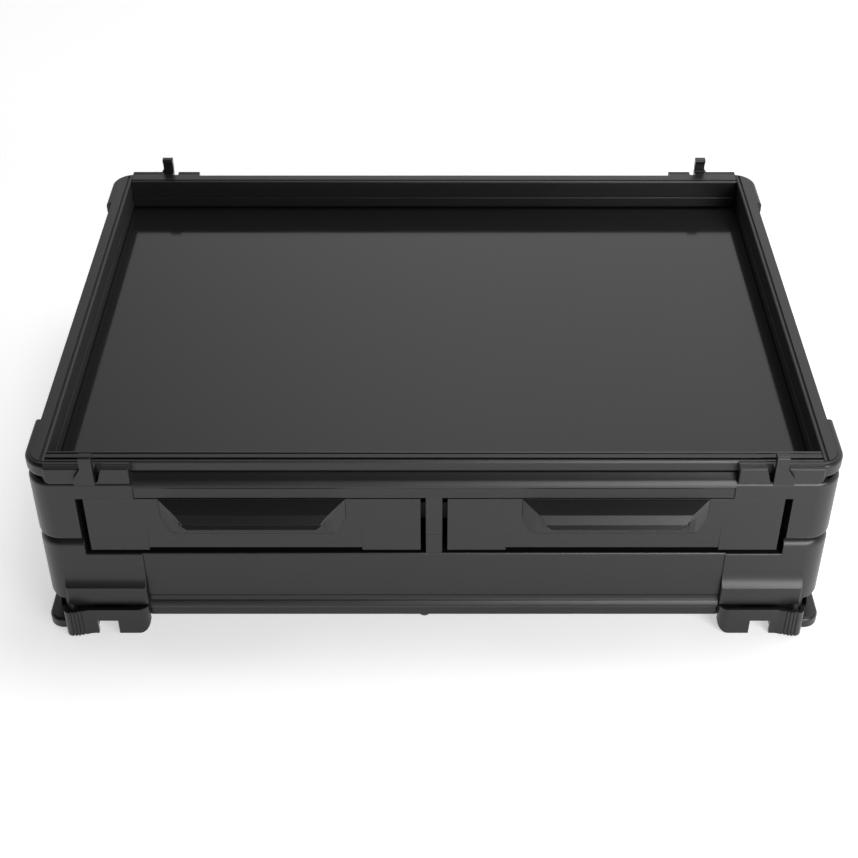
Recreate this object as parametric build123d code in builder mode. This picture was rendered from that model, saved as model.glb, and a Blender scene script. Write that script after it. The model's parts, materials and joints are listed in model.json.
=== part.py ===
"""Stacking drawer unit: an open tray over two drawers, in a frame of extruded rails with moulded corners.

Millimetres, +Z up, +X to the right, -Y towards the user. The origin is on the floor under the middle.
"""

import os

from build123d import *

# Frame, measured over the outside of the rails
RIM_LENGTH = 550.0
RIM_DEPTH = 393.0
FOOT_CLEAR = 10.5
SKIRT_HEIGHT = 60.0
OPENING_HEIGHT = 52.0
TOP_RAIL_HEIGHT = 29.5
RAIL_WIDTH = 11.2
TRAY_DEPTH = 26.0

# Fits
SEAT = 0.15
RUNNING = 0.3
PANEL_PLAY = 0.1

# Flutes on the outside of the rails
BAND_PROUD = 4.0
BEAD_PROUD = 5.2
BEAD_RADIUS = 3.3
TOP_BEAD_UP = 10.8
TOP_COVE_UP = 18.5
TOP_COVE_RADIUS = 5.0
SKIRT_BEAD_UP = 9.5
SKIRT_COVE_UP = 16.5
SKIRT_COVE_RADIUS = 6.0
SKIRT_COVE_DEPTH = 1.5
SKIRT_STEP_UP = 22.1
SKIRT_STEP = 0.7
SKIRT_EDGE_ROUND = 0.8

# Rim and inside of the rails
RIM_BEAD = 2.7
RIM_BEAD_ROUND = 1.2
RIM_EDGE_ROUND = 0.5
RIM_GROOVE = 1.0
RIM_GROOVE_DEPTH = 1.5
LIP_WIDTH = 1.5
LIP_GROOVE = 2.4
LIP_GROOVE_DEPTH = 3.0
WALL_LINE_DROP = 16.0
WALL_LINE_HEIGHT = 0.8
WALL_LINE_DEPTH = 0.4
CHAMBER_WALL = 2.8
CHAMBER_FLOOR = 7.5
CHAMBER_ROOF = 5.0
SKIRT_BACK = 1.8
SKIRT_FLANGE = 12.0
RAIL_ROUND = 11.0

# Panels
SLOT_DEPTH = 3.5
FLOOR_THICKNESS = 2.0
FLOOR_SHADOW = 1.6
DECK_THICKNESS = 3.0
DECK_DROP = 1.4
PANEL_THICKNESS = 3.0
PANEL_INSET = 3.0

# Corner mouldings
CORNER_PROUD = 4.5
CORNER_ROUND = 18.0
CORNER_FRONT_REACH = 69.0
CORNER_SIDE_REACH = 46.5
NECK_PROUD = 1.0
SHOULDER_ROUND = 3.4
POST_WIDTH = 28.5
POST_STEP = 0.6
POST_DEPTH = 16.5
SPLIT_RISE = 12.5
SPLIT_GAP = 0.2
UPPER_BOTTOM_ROUND = 4.0
UPPER_SHOULDER_DROP = 16.0
RIM_BAND_HEIGHT = 11.6
RIM_BAND_DROP = 0.4
RIM_BAND_ROUND = 3.0
LEG_DROP = 0.6
LOWER_SHOULDER_SHARE = 0.52
LOWER_LEG_ROUND = 1.5
LOWER_BODY_BOTTOM = 24.0
FOOT_HEIGHT = 8.0
FOOT_PROUD = 7.0
FOOT_INWARD = 14.0
FOOT_REACH = 29.0
FOOT_ROUND = 2.5
FOOT_CORNER = 11.0

# Blocks on the corner mouldings
BLOCK_LENGTH = 58.0
BLOCK_PROUD = 8.0
BLOCK_HEIGHT = 13.6
BLOCK_ROUND = 1.2
BLOCK_CORNER = 4.0
RIB_COUNT = 4
RIB_PITCH = 1.5
RIB_GROOVE = 0.6
LOWER_BLOCK_PROUD = 9.0
LOWER_BLOCK_TOP = 41.0
LOWER_BLOCK_BOTTOM = 25.5
LOWER_BLOCK_BLEND = 12.5

# Hooks
HOOK_INSET = 39.0
HOOK_WIDTH = 14.0
HOOK_TOP_WIDTH = 8.5
HOOK_RISE = 12.0
HOOK_SEAT_DROP = 12.0
HOOK_BACK = 2.2
HOOK_NECK_BACK = 7.4
HOOK_NOSE_BACK = 5.5
HOOK_FRONT = 11.5
HOOK_NOSE_HEIGHT = 5.0
HOOK_FLARE_TOP = 1.7
HOOK_FLARE_BOTTOM = 6.8
HOOK_ROUND = 1.6
HOOK_SLOT_GAP = 1.2
HOOK_SLOT_LEAN = 3.4

# Latches
LATCH_INSET = 0.3
LATCH_LENGTH = 61.1
LATCH_BOTTOM = 0.5
LATCH_TOP = 23.8
LATCH_WALL = 3.0
LATCH_PROUD = 13.5
LATCH_END_BACK = 5.6
LATCH_BEND = 5.5
LATCH_CORNER = 9.0
GRIP_LENGTH = 17.0
GRIP_FLARE = 3.0
GRIP_FLARE_RUN = 10.0
GRIP_FLARE_BEND = 12.0
GRIP_BACK = 8.0
GRIP_BEND = 3.5
GRIP_GROOVES = 4
GRIP_GROOVE_START = 5.2
GRIP_GROOVE_PITCH = 2.5
GRIP_GROOVE_WIDTH = 1.0
GRIP_GROOVE_DEPTH = 0.8
NOTCH_WIDTH = 15.0
NOTCH_OFFSET = 0.6
NOTCH_HEIGHT = 12.5
GUIDE_PROUD = 5.0
GUIDE_LIP = 2.0
GUIDE_BACK = 0.75
GUIDE_CLEAR = 4.0
GUIDE_END = 7.0
SLOT_LEVEL = 15.0
SLOT_MOUTH = 4.0
SLOT_HEAD = 8.0
TONGUE_LENGTH = 24.0

# Drawers
DIVIDER_WIDTH = 11.6
DIVIDER_WEB = 5.0
DIVIDER_FOOT_HEIGHT = 17.5
DIVIDER_TOP_GAP = 3.0
DRAWER_GAP_SIDE = 5.0
DRAWER_GAP_MIDDLE = 3.6
DRAWER_GAP_TOP = 1.3
DRAWER_GAP_BOTTOM = 3.3
DRAWER_SET_BACK = 0.5
DRAWER_FRONT_THICKNESS = 4.0
RECESS_WIDTH = 150.0
RECESS_DEPTH = 0.7
RECESS_LIFT = 1.8
RECESS_HEIGHT = 30.0
TRAY_REAR_CLEAR = 36.3
TRAY_OVERLAP = 65.0
TRAY_SIDE_INSET = 4.5
TRAY_MIDDLE_INSET = 3.0
TRAY_BOTTOM_LIFT = 1.2
TRAY_HEIGHT = 37.0
TRAY_WALL = 2.2
SIDE_WALL = 3.0
BASE_LIFT = 1.5
BASE_THICKNESS = 2.0
BASE_BITE = 1.2
STOP_LIP_LENGTH = 27.0
STOP_LIP_RISE = 5.0
STOP_THICKNESS = 6.0
STOP_HEIGHT = 6.0
STOP_CLEAR = 1.0
RIB_LEVEL = 15.0
RIB_HEIGHT = 3.0
RIB_REACH = 2.6
RUNNER_GAP = 0.5
RUNNER_WALL = 4.5
RUNNER_RISE = 6.0
RUNNER_BASE = 17.0
RUNNER_BASE_HEIGHT = 2.5
RUNNER_SET_BACK = 2.0
RUNNER_OVERRUN = 1.0

# Drawer pulls
PULL_WIDTH = 129.0
PULL_DROP = 0.4
PULL_BREAK_OUT = 7.9
PULL_BREAK_DROP = 7.6
PULL_NOSE_OUT = 11.6
PULL_NOSE_DROP = 13.2
PULL_LIP_OUT = 10.4
PULL_LIP_DROP = 19.3
PULL_NOSE_WIDTH = 95.0
PULL_LIP_CORNER = 7.0
PULL_CHEEK_OUT = 6.4
PULL_CHEEK_DROP = 16.0
PULL_SKIRT_DROP = 31.5
PULL_SKIRT_WIDTH = 109.0
PULL_WALL = 2.2
PULL_BACK = 2.0

# Screws
SCREW_RADIUS = 2.0
SCREW_FIT = 0.15
SCREW_HEAD_RADIUS = 4.0
SCREW_HEAD_HEIGHT = 2.4
CORNER_SCREW_UP = 34.5
CORNER_SCREW_FRONT = 48.0
CORNER_SCREW_SIDE = 30.0
CORNER_SCREW_BITE = 3.2
PANEL_SCREW_UP = 29.5
PULL_SCREW_SPREAD = 96.0
PULL_SCREW_DROP = 13.0
RUNNER_SCREW_SHARE = 0.4
RUNNER_SCREW_BITE = 2.0
RAIL_SCREW_OFFSET = -7.0
RAIL_SCREW_LENGTH = 6.0

# Places that follow from the sizes above
HALF_LENGTH = RIM_LENGTH / 2
HALF_DEPTH = RIM_DEPTH / 2
SKIRT_TOP = FOOT_CLEAR + SKIRT_HEIGHT
OPENING_TOP = SKIRT_TOP + OPENING_HEIGHT
RIM_TOP = OPENING_TOP + TOP_RAIL_HEIGHT
TRAY_LEVEL = RIM_TOP - TRAY_DEPTH
SPLIT_HEIGHT = SKIRT_TOP + SPLIT_RISE
LOWER_SHOULDER_ROUND = LOWER_SHOULDER_SHARE * SPLIT_RISE
DECK_LEVEL = SKIRT_TOP - DECK_DROP
INSIDE_X = HALF_LENGTH - RAIL_WIDTH
INSIDE_Y = HALF_DEPTH - RAIL_WIDTH
LEG_X = HALF_LENGTH - CORNER_FRONT_REACH
LEG_Y = HALF_DEPTH - CORNER_SIDE_REACH
POST_X = HALF_LENGTH - POST_WIDTH
POST_Y = HALF_DEPTH - POST_DEPTH
PANEL_FACE_X = HALF_LENGTH - PANEL_INSET
PANEL_SCREW_LEVEL = SKIRT_TOP + PANEL_SCREW_UP
CORNER_SCREW_LEVEL = FOOT_CLEAR + CORNER_SCREW_UP
HOOK_X = HALF_LENGTH - HOOK_INSET
BLOCK_BOTTOM = RIM_TOP - RIM_BAND_DROP - BLOCK_HEIGHT
HOOK_SEAT = RIM_TOP - HOOK_SEAT_DROP
DRAWER_FACE = HALF_DEPTH + BAND_PROUD - DRAWER_SET_BACK
DRAWER_INNER = DIVIDER_WIDTH / 2 + DRAWER_GAP_MIDDLE
DRAWER_OUTER = POST_X - DRAWER_GAP_SIDE
DRAWER_CENTRE = (DRAWER_INNER + DRAWER_OUTER) / 2
DRAWER_BOTTOM = SKIRT_TOP + DRAWER_GAP_BOTTOM
DRAWER_TOP = OPENING_TOP - DRAWER_GAP_TOP
TRAY_INNER = DRAWER_INNER + TRAY_MIDDLE_INSET
TRAY_OUTER = DRAWER_OUTER - TRAY_SIDE_INSET
TRAY_BOTTOM = DRAWER_BOTTOM + TRAY_BOTTOM_LIFT
TRAY_TOP = TRAY_BOTTOM + TRAY_HEIGHT
TRAY_FRONT = -DRAWER_FACE + DRAWER_FRONT_THICKNESS
TRAY_REAR = INSIDE_Y - TRAY_REAR_CLEAR
TRAY_LENGTH = TRAY_REAR - TRAY_FRONT
DRAWER_TRAVEL = TRAY_LENGTH - TRAY_OVERLAP
RIB_BOTTOM = TRAY_BOTTOM + RIB_LEVEL
RUNNER_FRONT = -POST_Y + RUNNER_SET_BACK
RUNNER_LENGTH = TRAY_REAR + RUNNER_OVERRUN - RUNNER_FRONT
PULL_FACE = DRAWER_FACE + SEAT
PULL_TOP = DRAWER_TOP - PULL_DROP
PULL_SCREW_LEVEL = PULL_TOP - PULL_SCREW_DROP
FAR = 2 * (RIM_LENGTH + RIM_DEPTH)
TINY = 0.001

ALIGN_LOW = (Align.MIN, Align.MIN)
ALIGN_LOW_3D = (Align.MIN, Align.MIN, Align.MIN)
ALIGN_BASE = (Align.CENTER, Align.CENTER, Align.MIN)
UP = Vector(0, 0, 1)
OUTWARD = {
    "front": Vector(0, -1, 0),
    "rear": Vector(0, 1, 0),
    "left": Vector(-1, 0, 0),
    "right": Vector(1, 0, 0),
}


def save(piece, name):
    """Labels a finished piece and writes it as its own file."""
    piece.label = name
    export_step(piece, f"parts/{name}.step")


def save_corners(master, name):
    """Writes the rear right piece and its three mirror images."""
    rear_left = mirror(master, about=Plane.YZ)
    save(master, f"{name}_rear_right")
    save(rear_left, f"{name}_rear_left")
    save(mirror(master, about=Plane.XZ), f"{name}_front_right")
    save(mirror(rear_left, about=Plane.XZ), f"{name}_front_left")


def section_plane(side):
    """Plane across a rail, on the outside of the frame: local x points out of the box and y up."""
    outward = OUTWARD[side]
    reach = HALF_DEPTH if side in ("front", "rear") else HALF_LENGTH
    return Plane(origin=outward * reach, x_dir=outward, z_dir=outward.cross(UP))


def rail_run(side):
    """Half length of a rail, and how far from its middle the corner mouldings start."""
    if side in ("front", "rear"):
        return INSIDE_X - PANEL_PLAY, LEG_X - SEAT
    return HALF_DEPTH, LEG_Y - SEAT


def corner_spandrels(level):
    """What rounding takes off the four vertical corners of the frame."""
    with BuildSketch(Plane.XY.offset(level)) as spandrels:
        with GridLocations(RIM_LENGTH - RAIL_ROUND, RIM_DEPTH - RAIL_ROUND, 2, 2):
            Rectangle(RAIL_ROUND, RAIL_ROUND)
        with GridLocations(RIM_LENGTH - 2 * RAIL_ROUND, RIM_DEPTH - 2 * RAIL_ROUND, 2, 2):
            Circle(RAIL_ROUND, mode=Mode.SUBTRACT)
    return spandrels.sketch


def milled_ends(side, bottom, height):
    """The flutes that are milled off both ends of a rail, under the corner mouldings."""
    half_run, mill_start = rail_run(side)
    plane = section_plane(side)
    with BuildPart() as ends:
        for start in (mill_start, -half_run):
            with BuildSketch(plane.offset(start)):
                with Locations((0, bottom)):
                    Rectangle(2 * BEAD_PROUD, height, align=ALIGN_LOW)
            extrude(amount=half_run - mill_start)
    return ends.part


def top_rail(side):
    """Extruded rim rail with its flutes, tray slot and chamber; the front one has an outer drip lip."""
    half_run, _ = rail_run(side)
    with BuildPart() as rail:
        with BuildSketch(section_plane(side)) as section:
            with Locations((0, OPENING_TOP)):
                Rectangle(RAIL_WIDTH, TOP_RAIL_HEIGHT, align=(Align.MAX, Align.MIN))
                Rectangle(BAND_PROUD, TOP_COVE_UP, align=ALIGN_LOW)
            with Locations((BEAD_PROUD - BEAD_RADIUS, OPENING_TOP + TOP_BEAD_UP)):
                Circle(BEAD_RADIUS)
            with Locations((BAND_PROUD, OPENING_TOP + TOP_COVE_UP)):
                Circle(TOP_COVE_RADIUS, mode=Mode.SUBTRACT)
            with Locations((RIM_BEAD - RAIL_WIDTH, RIM_TOP)):
                Rectangle(RIM_GROOVE, RIM_GROOVE_DEPTH, align=(Align.MIN, Align.MAX), mode=Mode.SUBTRACT)
            if side == "front":
                with Locations((-LIP_WIDTH, RIM_TOP)):
                    Rectangle(LIP_GROOVE, LIP_GROOVE_DEPTH, align=(Align.MAX, Align.MAX), mode=Mode.SUBTRACT)
            else:
                with Locations((PANEL_PLAY - PANEL_INSET, OPENING_TOP)):
                    panel_slot = PANEL_THICKNESS + 2 * PANEL_PLAY
                    Rectangle(panel_slot, SLOT_DEPTH, align=(Align.MAX, Align.MIN), mode=Mode.SUBTRACT)
            with Locations((-RAIL_WIDTH, TRAY_LEVEL - FLOOR_THICKNESS - PANEL_PLAY)):
                floor_slot = FLOOR_THICKNESS + FLOOR_SHADOW + PANEL_PLAY
                Rectangle(SLOT_DEPTH, floor_slot, align=ALIGN_LOW, mode=Mode.SUBTRACT)
            with Locations((-RAIL_WIDTH, RIM_TOP - WALL_LINE_DROP)):
                Rectangle(WALL_LINE_DEPTH, WALL_LINE_HEIGHT, align=ALIGN_LOW, mode=Mode.SUBTRACT)
            with Locations((CHAMBER_WALL - RAIL_WIDTH, OPENING_TOP + CHAMBER_FLOOR)):
                Rectangle(
                    RAIL_WIDTH - 2 * CHAMBER_WALL,
                    TOP_RAIL_HEIGHT - CHAMBER_FLOOR - CHAMBER_ROOF,
                    align=ALIGN_LOW,
                    mode=Mode.SUBTRACT,
                )
            top = section.vertices().filter_by_position(Axis.Y, RIM_TOP - TINY, RIM_TOP + TINY)
            bead_side = RIM_BEAD - RAIL_WIDTH + TINY
            fillet(top.filter_by_position(Axis.X, -RAIL_WIDTH - TINY, bead_side), RIM_BEAD_ROUND)
        extrude(amount=half_run, both=True)
        add(milled_ends(side, OPENING_TOP, TOP_RAIL_HEIGHT), mode=Mode.SUBTRACT)
        if side in ("left", "right"):
            extrude(corner_spandrels(OPENING_TOP), amount=TOP_RAIL_HEIGHT, mode=Mode.SUBTRACT)
    return rail.part


def bottom_rail(side):
    """Extruded skirt rail: a fluted web with a slotted flange along its top."""
    half_run, _ = rail_run(side)
    plane = section_plane(side)
    is_long = side in ("front", "rear")
    screw_place = HALF_LENGTH - CORNER_SCREW_FRONT if is_long else HALF_DEPTH - CORNER_SCREW_SIDE
    with BuildPart() as rail:
        with BuildSketch(plane) as section:
            with Locations((BAND_PROUD, FOOT_CLEAR)):
                Rectangle(BAND_PROUD + SKIRT_BACK, SKIRT_HEIGHT, align=(Align.MAX, Align.MIN))
            with Locations((0, SKIRT_TOP)):
                Rectangle(RAIL_WIDTH, SKIRT_FLANGE, align=(Align.MAX, Align.MAX))
            with Locations((BAND_PROUD, FOOT_CLEAR + SKIRT_BEAD_UP)):
                step_height = SKIRT_STEP_UP - SKIRT_BEAD_UP
                Rectangle(SKIRT_STEP, step_height, align=(Align.MAX, Align.MIN), mode=Mode.SUBTRACT)
            with Locations((BAND_PROUD - SKIRT_COVE_DEPTH + SKIRT_COVE_RADIUS, FOOT_CLEAR + SKIRT_COVE_UP)):
                Circle(SKIRT_COVE_RADIUS, mode=Mode.SUBTRACT)
            with Locations((BEAD_PROUD - BEAD_RADIUS, FOOT_CLEAR + SKIRT_BEAD_UP)):
                Circle(BEAD_RADIUS)
            with Locations((-RAIL_WIDTH, DECK_LEVEL + PANEL_PLAY)):
                deck_slot = DECK_THICKNESS + 2 * PANEL_PLAY
                Rectangle(SLOT_DEPTH, deck_slot, align=(Align.MIN, Align.MAX), mode=Mode.SUBTRACT)
            if side != "front":
                with Locations((PANEL_PLAY - PANEL_INSET, SKIRT_TOP)):
                    panel_slot = PANEL_THICKNESS + 2 * PANEL_PLAY
                    Rectangle(panel_slot, SLOT_DEPTH, align=(Align.MAX, Align.MAX), mode=Mode.SUBTRACT)
            skirt_edges = section.vertices().filter_by_position(Axis.Y, SKIRT_TOP - TINY, SKIRT_TOP + TINY)
            fillet(skirt_edges.sort_by(Axis.X)[-1], SKIRT_EDGE_ROUND)
        extrude(amount=half_run, both=True)
        add(milled_ends(side, FOOT_CLEAR, SKIRT_HEIGHT), mode=Mode.SUBTRACT)
        if side in ("left", "right"):
            extrude(corner_spandrels(FOOT_CLEAR), amount=SKIRT_HEIGHT, mode=Mode.SUBTRACT)
        with BuildSketch(Plane(origin=plane.origin, x_dir=plane.z_dir, z_dir=-plane.x_dir)):
            with Locations((screw_place, CORNER_SCREW_LEVEL), (-screw_place, CORNER_SCREW_LEVEL)):
                Circle(SCREW_RADIUS + SCREW_FIT)
        extrude(amount=SKIRT_BACK, mode=Mode.SUBTRACT)
        if side == "front":
            with Locations((RAIL_SCREW_OFFSET, -HALF_DEPTH, FOOT_CLEAR)):
                Cylinder(SCREW_RADIUS + SCREW_FIT, RAIL_SCREW_LENGTH, align=ALIGN_BASE, mode=Mode.SUBTRACT)
    return rail.part


def flat_panel(length, depth, top, thickness):
    """A level panel that slides into the rails' slots."""
    with BuildPart() as panel:
        with BuildSketch(Plane.XY.offset(top)):
            Rectangle(length, depth)
        extrude(amount=-thickness)
    return panel.part


def upright_panel(side):
    """A wall panel that stands in the slots of the rails above and below it, between two corner posts."""
    plane = section_plane(side)
    half_width = POST_X - POST_STEP - SEAT if side == "rear" else POST_Y - SEAT
    screw_place = HALF_DEPTH - CORNER_SCREW_SIDE
    slot_entry = SLOT_DEPTH - PANEL_PLAY
    with BuildPart() as panel:
        with BuildSketch(plane):
            with Locations((-PANEL_INSET, SKIRT_TOP - slot_entry)):
                Rectangle(PANEL_THICKNESS, OPENING_HEIGHT + 2 * slot_entry, align=(Align.MAX, Align.MIN))
        extrude(amount=half_width, both=True)
        if side != "rear":
            for place in (screw_place, -screw_place):
                middle = OUTWARD[side].X * (PANEL_FACE_X - PANEL_THICKNESS / 2)
                hole = SCREW_RADIUS + SCREW_FIT
                with Locations((middle, place, PANEL_SCREW_LEVEL)):
                    Cylinder(hole, 2 * PANEL_THICKNESS, rotation=(0, 90, 0), mode=Mode.SUBTRACT)
    return panel.part


def plan_round(proud):
    """Plan radius of a moulding's corner, which follows the main body's."""
    return FOOT_CORNER if proud == FOOT_PROUD else CORNER_ROUND + proud - CORNER_PROUD


def wrap_plan(level, proud, inner, reach_x):
    """Plan of a moulding that wraps the rear right corner, from inner to proud of the rails' outline."""
    inner_round = max(RAIL_ROUND + inner, RIM_EDGE_ROUND)
    with BuildSketch(Plane.XY.offset(level)) as plan:
        RectangleRounded(RIM_LENGTH + 2 * proud, RIM_DEPTH + 2 * proud, plan_round(proud))
        RectangleRounded(RIM_LENGTH + 2 * inner, RIM_DEPTH + 2 * inner, inner_round, mode=Mode.SUBTRACT)
        with Locations((reach_x, LEG_Y)):
            Rectangle(FAR, FAR, align=ALIGN_LOW, mode=Mode.INTERSECT)
    return plan.sketch


def post_plan(level, post_x):
    """Plan of a moulding at the drawers' height: the corner post and its leg along the side panel."""
    with BuildSketch(Plane.XY.offset(level)) as plan:
        with Locations((post_x, POST_Y)):
            Rectangle(FAR, FAR, align=ALIGN_LOW)
        with Locations((PANEL_FACE_X + SEAT, LEG_Y)):
            Rectangle(FAR, FAR, align=ALIGN_LOW)
        RectangleRounded(
            RIM_LENGTH + 2 * CORNER_PROUD, RIM_DEPTH + 2 * CORNER_PROUD, CORNER_ROUND, mode=Mode.INTERSECT
        )
    return plan.sketch


def outline_edges(part, level, proud):
    """Edges of a moulding at one height that follow the outline proud of the rails."""
    corner = plan_round(proud)
    centre_x = HALF_LENGTH + proud - corner
    centre_y = HALF_DEPTH + proud - corner

    def follows_outline(edge):
        point = edge @ 0.5
        across = max(point.X - centre_x, 0)
        along = max(point.Y - centre_y, 0)
        return abs(Vector(across, along).length - corner) < TINY

    return part.edges().filter_by_position(Axis.Z, level - TINY, level + TINY).filter_by(follows_outline)


def upper_corner():
    """Upper corner moulding: post beside the drawers, rounded body, neck, rim band and hook block."""
    post_bottom = SPLIT_HEIGHT + SPLIT_GAP
    leg_bottom = OPENING_TOP - LEG_DROP
    shoulder = RIM_TOP - UPPER_SHOULDER_DROP
    band_top = RIM_TOP - RIM_BAND_DROP
    band_bottom = band_top - RIM_BAND_HEIGHT
    with BuildPart() as corner:
        extrude(post_plan(post_bottom, POST_X), amount=OPENING_TOP - SEAT - post_bottom)
        extrude(wrap_plan(leg_bottom, CORNER_PROUD, SEAT, LEG_X), amount=shoulder - leg_bottom)
        fillet(outline_edges(corner, post_bottom, CORNER_PROUD), UPPER_BOTTOM_ROUND)
        fillet(outline_edges(corner, shoulder, CORNER_PROUD), SHOULDER_ROUND)
        extrude(wrap_plan(shoulder, NECK_PROUD, SEAT, LEG_X), amount=band_bottom - shoulder)
        extrude(wrap_plan(band_bottom, CORNER_PROUD, SEAT, LEG_X), amount=RIM_BAND_HEIGHT)
        fillet(outline_edges(corner, band_top, CORNER_PROUD), RIM_BAND_ROUND)
        fillet(outline_edges(corner, band_bottom, CORNER_PROUD), RIM_BAND_ROUND)
        add(hook_block(band_top))
        slot_back = Plane.XZ.offset(SEAT - HALF_DEPTH - HOOK_BACK)
        hook_slot = hook_outline(slot_back, SEAT, HOOK_SLOT_GAP, HOOK_SLOT_LEAN)
        extrude(hook_slot, amount=-2 * BLOCK_PROUD, mode=Mode.SUBTRACT)
        with Locations((PANEL_FACE_X + SEAT, HALF_DEPTH - CORNER_SCREW_SIDE, PANEL_SCREW_LEVEL)):
            Cylinder(
                SCREW_RADIUS + SCREW_FIT,
                CORNER_SCREW_BITE + SCREW_FIT,
                align=ALIGN_BASE,
                rotation=(0, 90, 0),
                mode=Mode.SUBTRACT,
            )
    return corner.part


def hook_block(block_top):
    """Block on the front of an upper corner, with fine ribs along its top."""
    with BuildPart() as block:
        with Locations((LEG_X, HALF_DEPTH + SEAT, BLOCK_BOTTOM)):
            Box(BLOCK_LENGTH, BLOCK_PROUD - SEAT, BLOCK_HEIGHT, align=ALIGN_LOW_3D)
        fillet(block.edges().filter_by(Axis.Y).group_by(Axis.Z)[0].sort_by(Axis.X)[-1], BLOCK_CORNER)
        fillet(block.faces().sort_by(Axis.Y)[-1].edges(), BLOCK_ROUND)
        first_rib = HALF_DEPTH + BLOCK_PROUD - RIB_COUNT * RIB_PITCH
        for rib in range(RIB_COUNT):
            with Locations((LEG_X, first_rib + rib * RIB_PITCH, block_top)):
                Box(
                    BLOCK_LENGTH,
                    RIB_GROOVE,
                    RIB_GROOVE,
                    align=(Align.MIN, Align.CENTER, Align.MAX),
                    mode=Mode.SUBTRACT,
                )
    return block.part


def lower_corner():
    """Lower corner moulding: shouldered body over the skirt, front block, latch guide and foot."""
    body_top = SKIRT_TOP + SEAT
    body_bottom = LOWER_BODY_BOTTOM
    foot_x = HALF_LENGTH - FOOT_REACH
    with BuildPart() as corner:
        extrude(wrap_plan(body_bottom, CORNER_PROUD, SEAT, LEG_X), amount=body_top - body_bottom)
        extrude(post_plan(body_top, POST_X - POST_STEP), amount=SPLIT_HEIGHT - body_top)
        fillet(outline_edges(corner, body_top, CORNER_PROUD).sort_by(Axis.X)[0], LOWER_LEG_ROUND)
        fillet(outline_edges(corner, SPLIT_HEIGHT, CORNER_PROUD), LOWER_SHOULDER_ROUND)
        fillet(outline_edges(corner, body_bottom, CORNER_PROUD), SHOULDER_ROUND)
        extrude(wrap_plan(FOOT_HEIGHT, NECK_PROUD, SEAT, LEG_X), amount=body_bottom - FOOT_HEIGHT)
        sole_rise = FOOT_CLEAR - SEAT - FOOT_HEIGHT
        extrude(wrap_plan(FOOT_HEIGHT, NECK_PROUD, -FOOT_INWARD, foot_x), amount=sole_rise)
        extrude(wrap_plan(0, FOOT_PROUD, -FOOT_INWARD, foot_x), amount=FOOT_HEIGHT)
        fillet(outline_edges(corner, FOOT_HEIGHT, FOOT_PROUD), FOOT_ROUND)
        add(lower_block())
        add(latch_guide())
        hole = SCREW_RADIUS + SCREW_FIT
        hole_depth = CORNER_SCREW_BITE + SCREW_FIT
        with Locations((HALF_LENGTH - CORNER_SCREW_FRONT, HALF_DEPTH, CORNER_SCREW_LEVEL)):
            Cylinder(hole, hole_depth, align=ALIGN_BASE, rotation=(-90, 0, 0), mode=Mode.SUBTRACT)
        with Locations((HALF_LENGTH, HALF_DEPTH - CORNER_SCREW_SIDE, CORNER_SCREW_LEVEL)):
            Cylinder(hole, hole_depth, align=ALIGN_BASE, rotation=(0, 90, 0), mode=Mode.SUBTRACT)
    return corner.part


def lower_block():
    """Block across the front of a lower corner, blended into the face above it."""
    face = HALF_DEPTH + CORNER_PROUD
    front = HALF_DEPTH + LOWER_BLOCK_PROUD
    with BuildPart() as block:
        with BuildSketch(Plane.YZ.offset(LEG_X)):
            with BuildLine():
                blend_top = LOWER_BLOCK_TOP + LOWER_BLOCK_BLEND
                rise = TangentArc((face, blend_top), (front, LOWER_BLOCK_TOP), tangent=(0, -1))
                Polyline(
                    rise @ 1,
                    (front, LOWER_BLOCK_BOTTOM),
                    (HALF_DEPTH + SEAT, LOWER_BLOCK_BOTTOM),
                    (HALF_DEPTH + SEAT, blend_top),
                    rise @ 0,
                )
            make_face()
        extrude(amount=BLOCK_LENGTH)
        fillet(block.edges().filter_by(Axis.Z).group_by(Axis.Y)[-1], BLOCK_ROUND)
    return block.part


def latch_guide():
    """Guide behind the latch, with the undercut slot that its tongue slides in."""
    start = LEG_X + LATCH_WALL
    length = BLOCK_LENGTH - GUIDE_END
    back = HALF_DEPTH + SEAT
    with BuildPart() as guide:
        with Locations((start, back, FOOT_HEIGHT)):
            Box(length, GUIDE_PROUD - SEAT, LOWER_BODY_BOTTOM - FOOT_HEIGHT, align=ALIGN_LOW_3D)
        slot_length = length - GUIDE_CLEAR
        undercut = GUIDE_PROUD - GUIDE_LIP - GUIDE_BACK - SEAT
        slot_align = (Align.MIN, Align.MIN, Align.CENTER)
        with Locations((start, back + GUIDE_BACK, SLOT_LEVEL)):
            Box(slot_length, undercut, SLOT_HEAD, align=slot_align, mode=Mode.SUBTRACT)
            Box(slot_length, GUIDE_PROUD, SLOT_MOUTH, align=slot_align, mode=Mode.SUBTRACT)
    return guide.part


def hook_outline(plane, gap, inner_gap, lean):
    """Front view of a hook, flared on its outer side, or of its slot, grown by gaps and leaning inside."""
    low = HOOK_X - HOOK_WIDTH / 2 - inner_gap
    flare_foot = HOOK_X + HOOK_WIDTH / 2 + gap
    flare_head = flare_foot - HOOK_WIDTH + HOOK_TOP_WIDTH
    top = RIM_TOP + HOOK_RISE
    with BuildSketch(plane) as outline:
        with BuildLine():
            Polyline(
                (low, HOOK_SEAT - gap),
                (flare_foot, HOOK_SEAT - gap),
                (flare_foot, RIM_TOP - HOOK_FLARE_BOTTOM),
                (flare_head, RIM_TOP + HOOK_FLARE_TOP),
                (flare_head, top),
                (low - lean, top),
                (low - lean, RIM_TOP),
                close=True,
            )
        make_face()
    return outline.sketch


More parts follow.
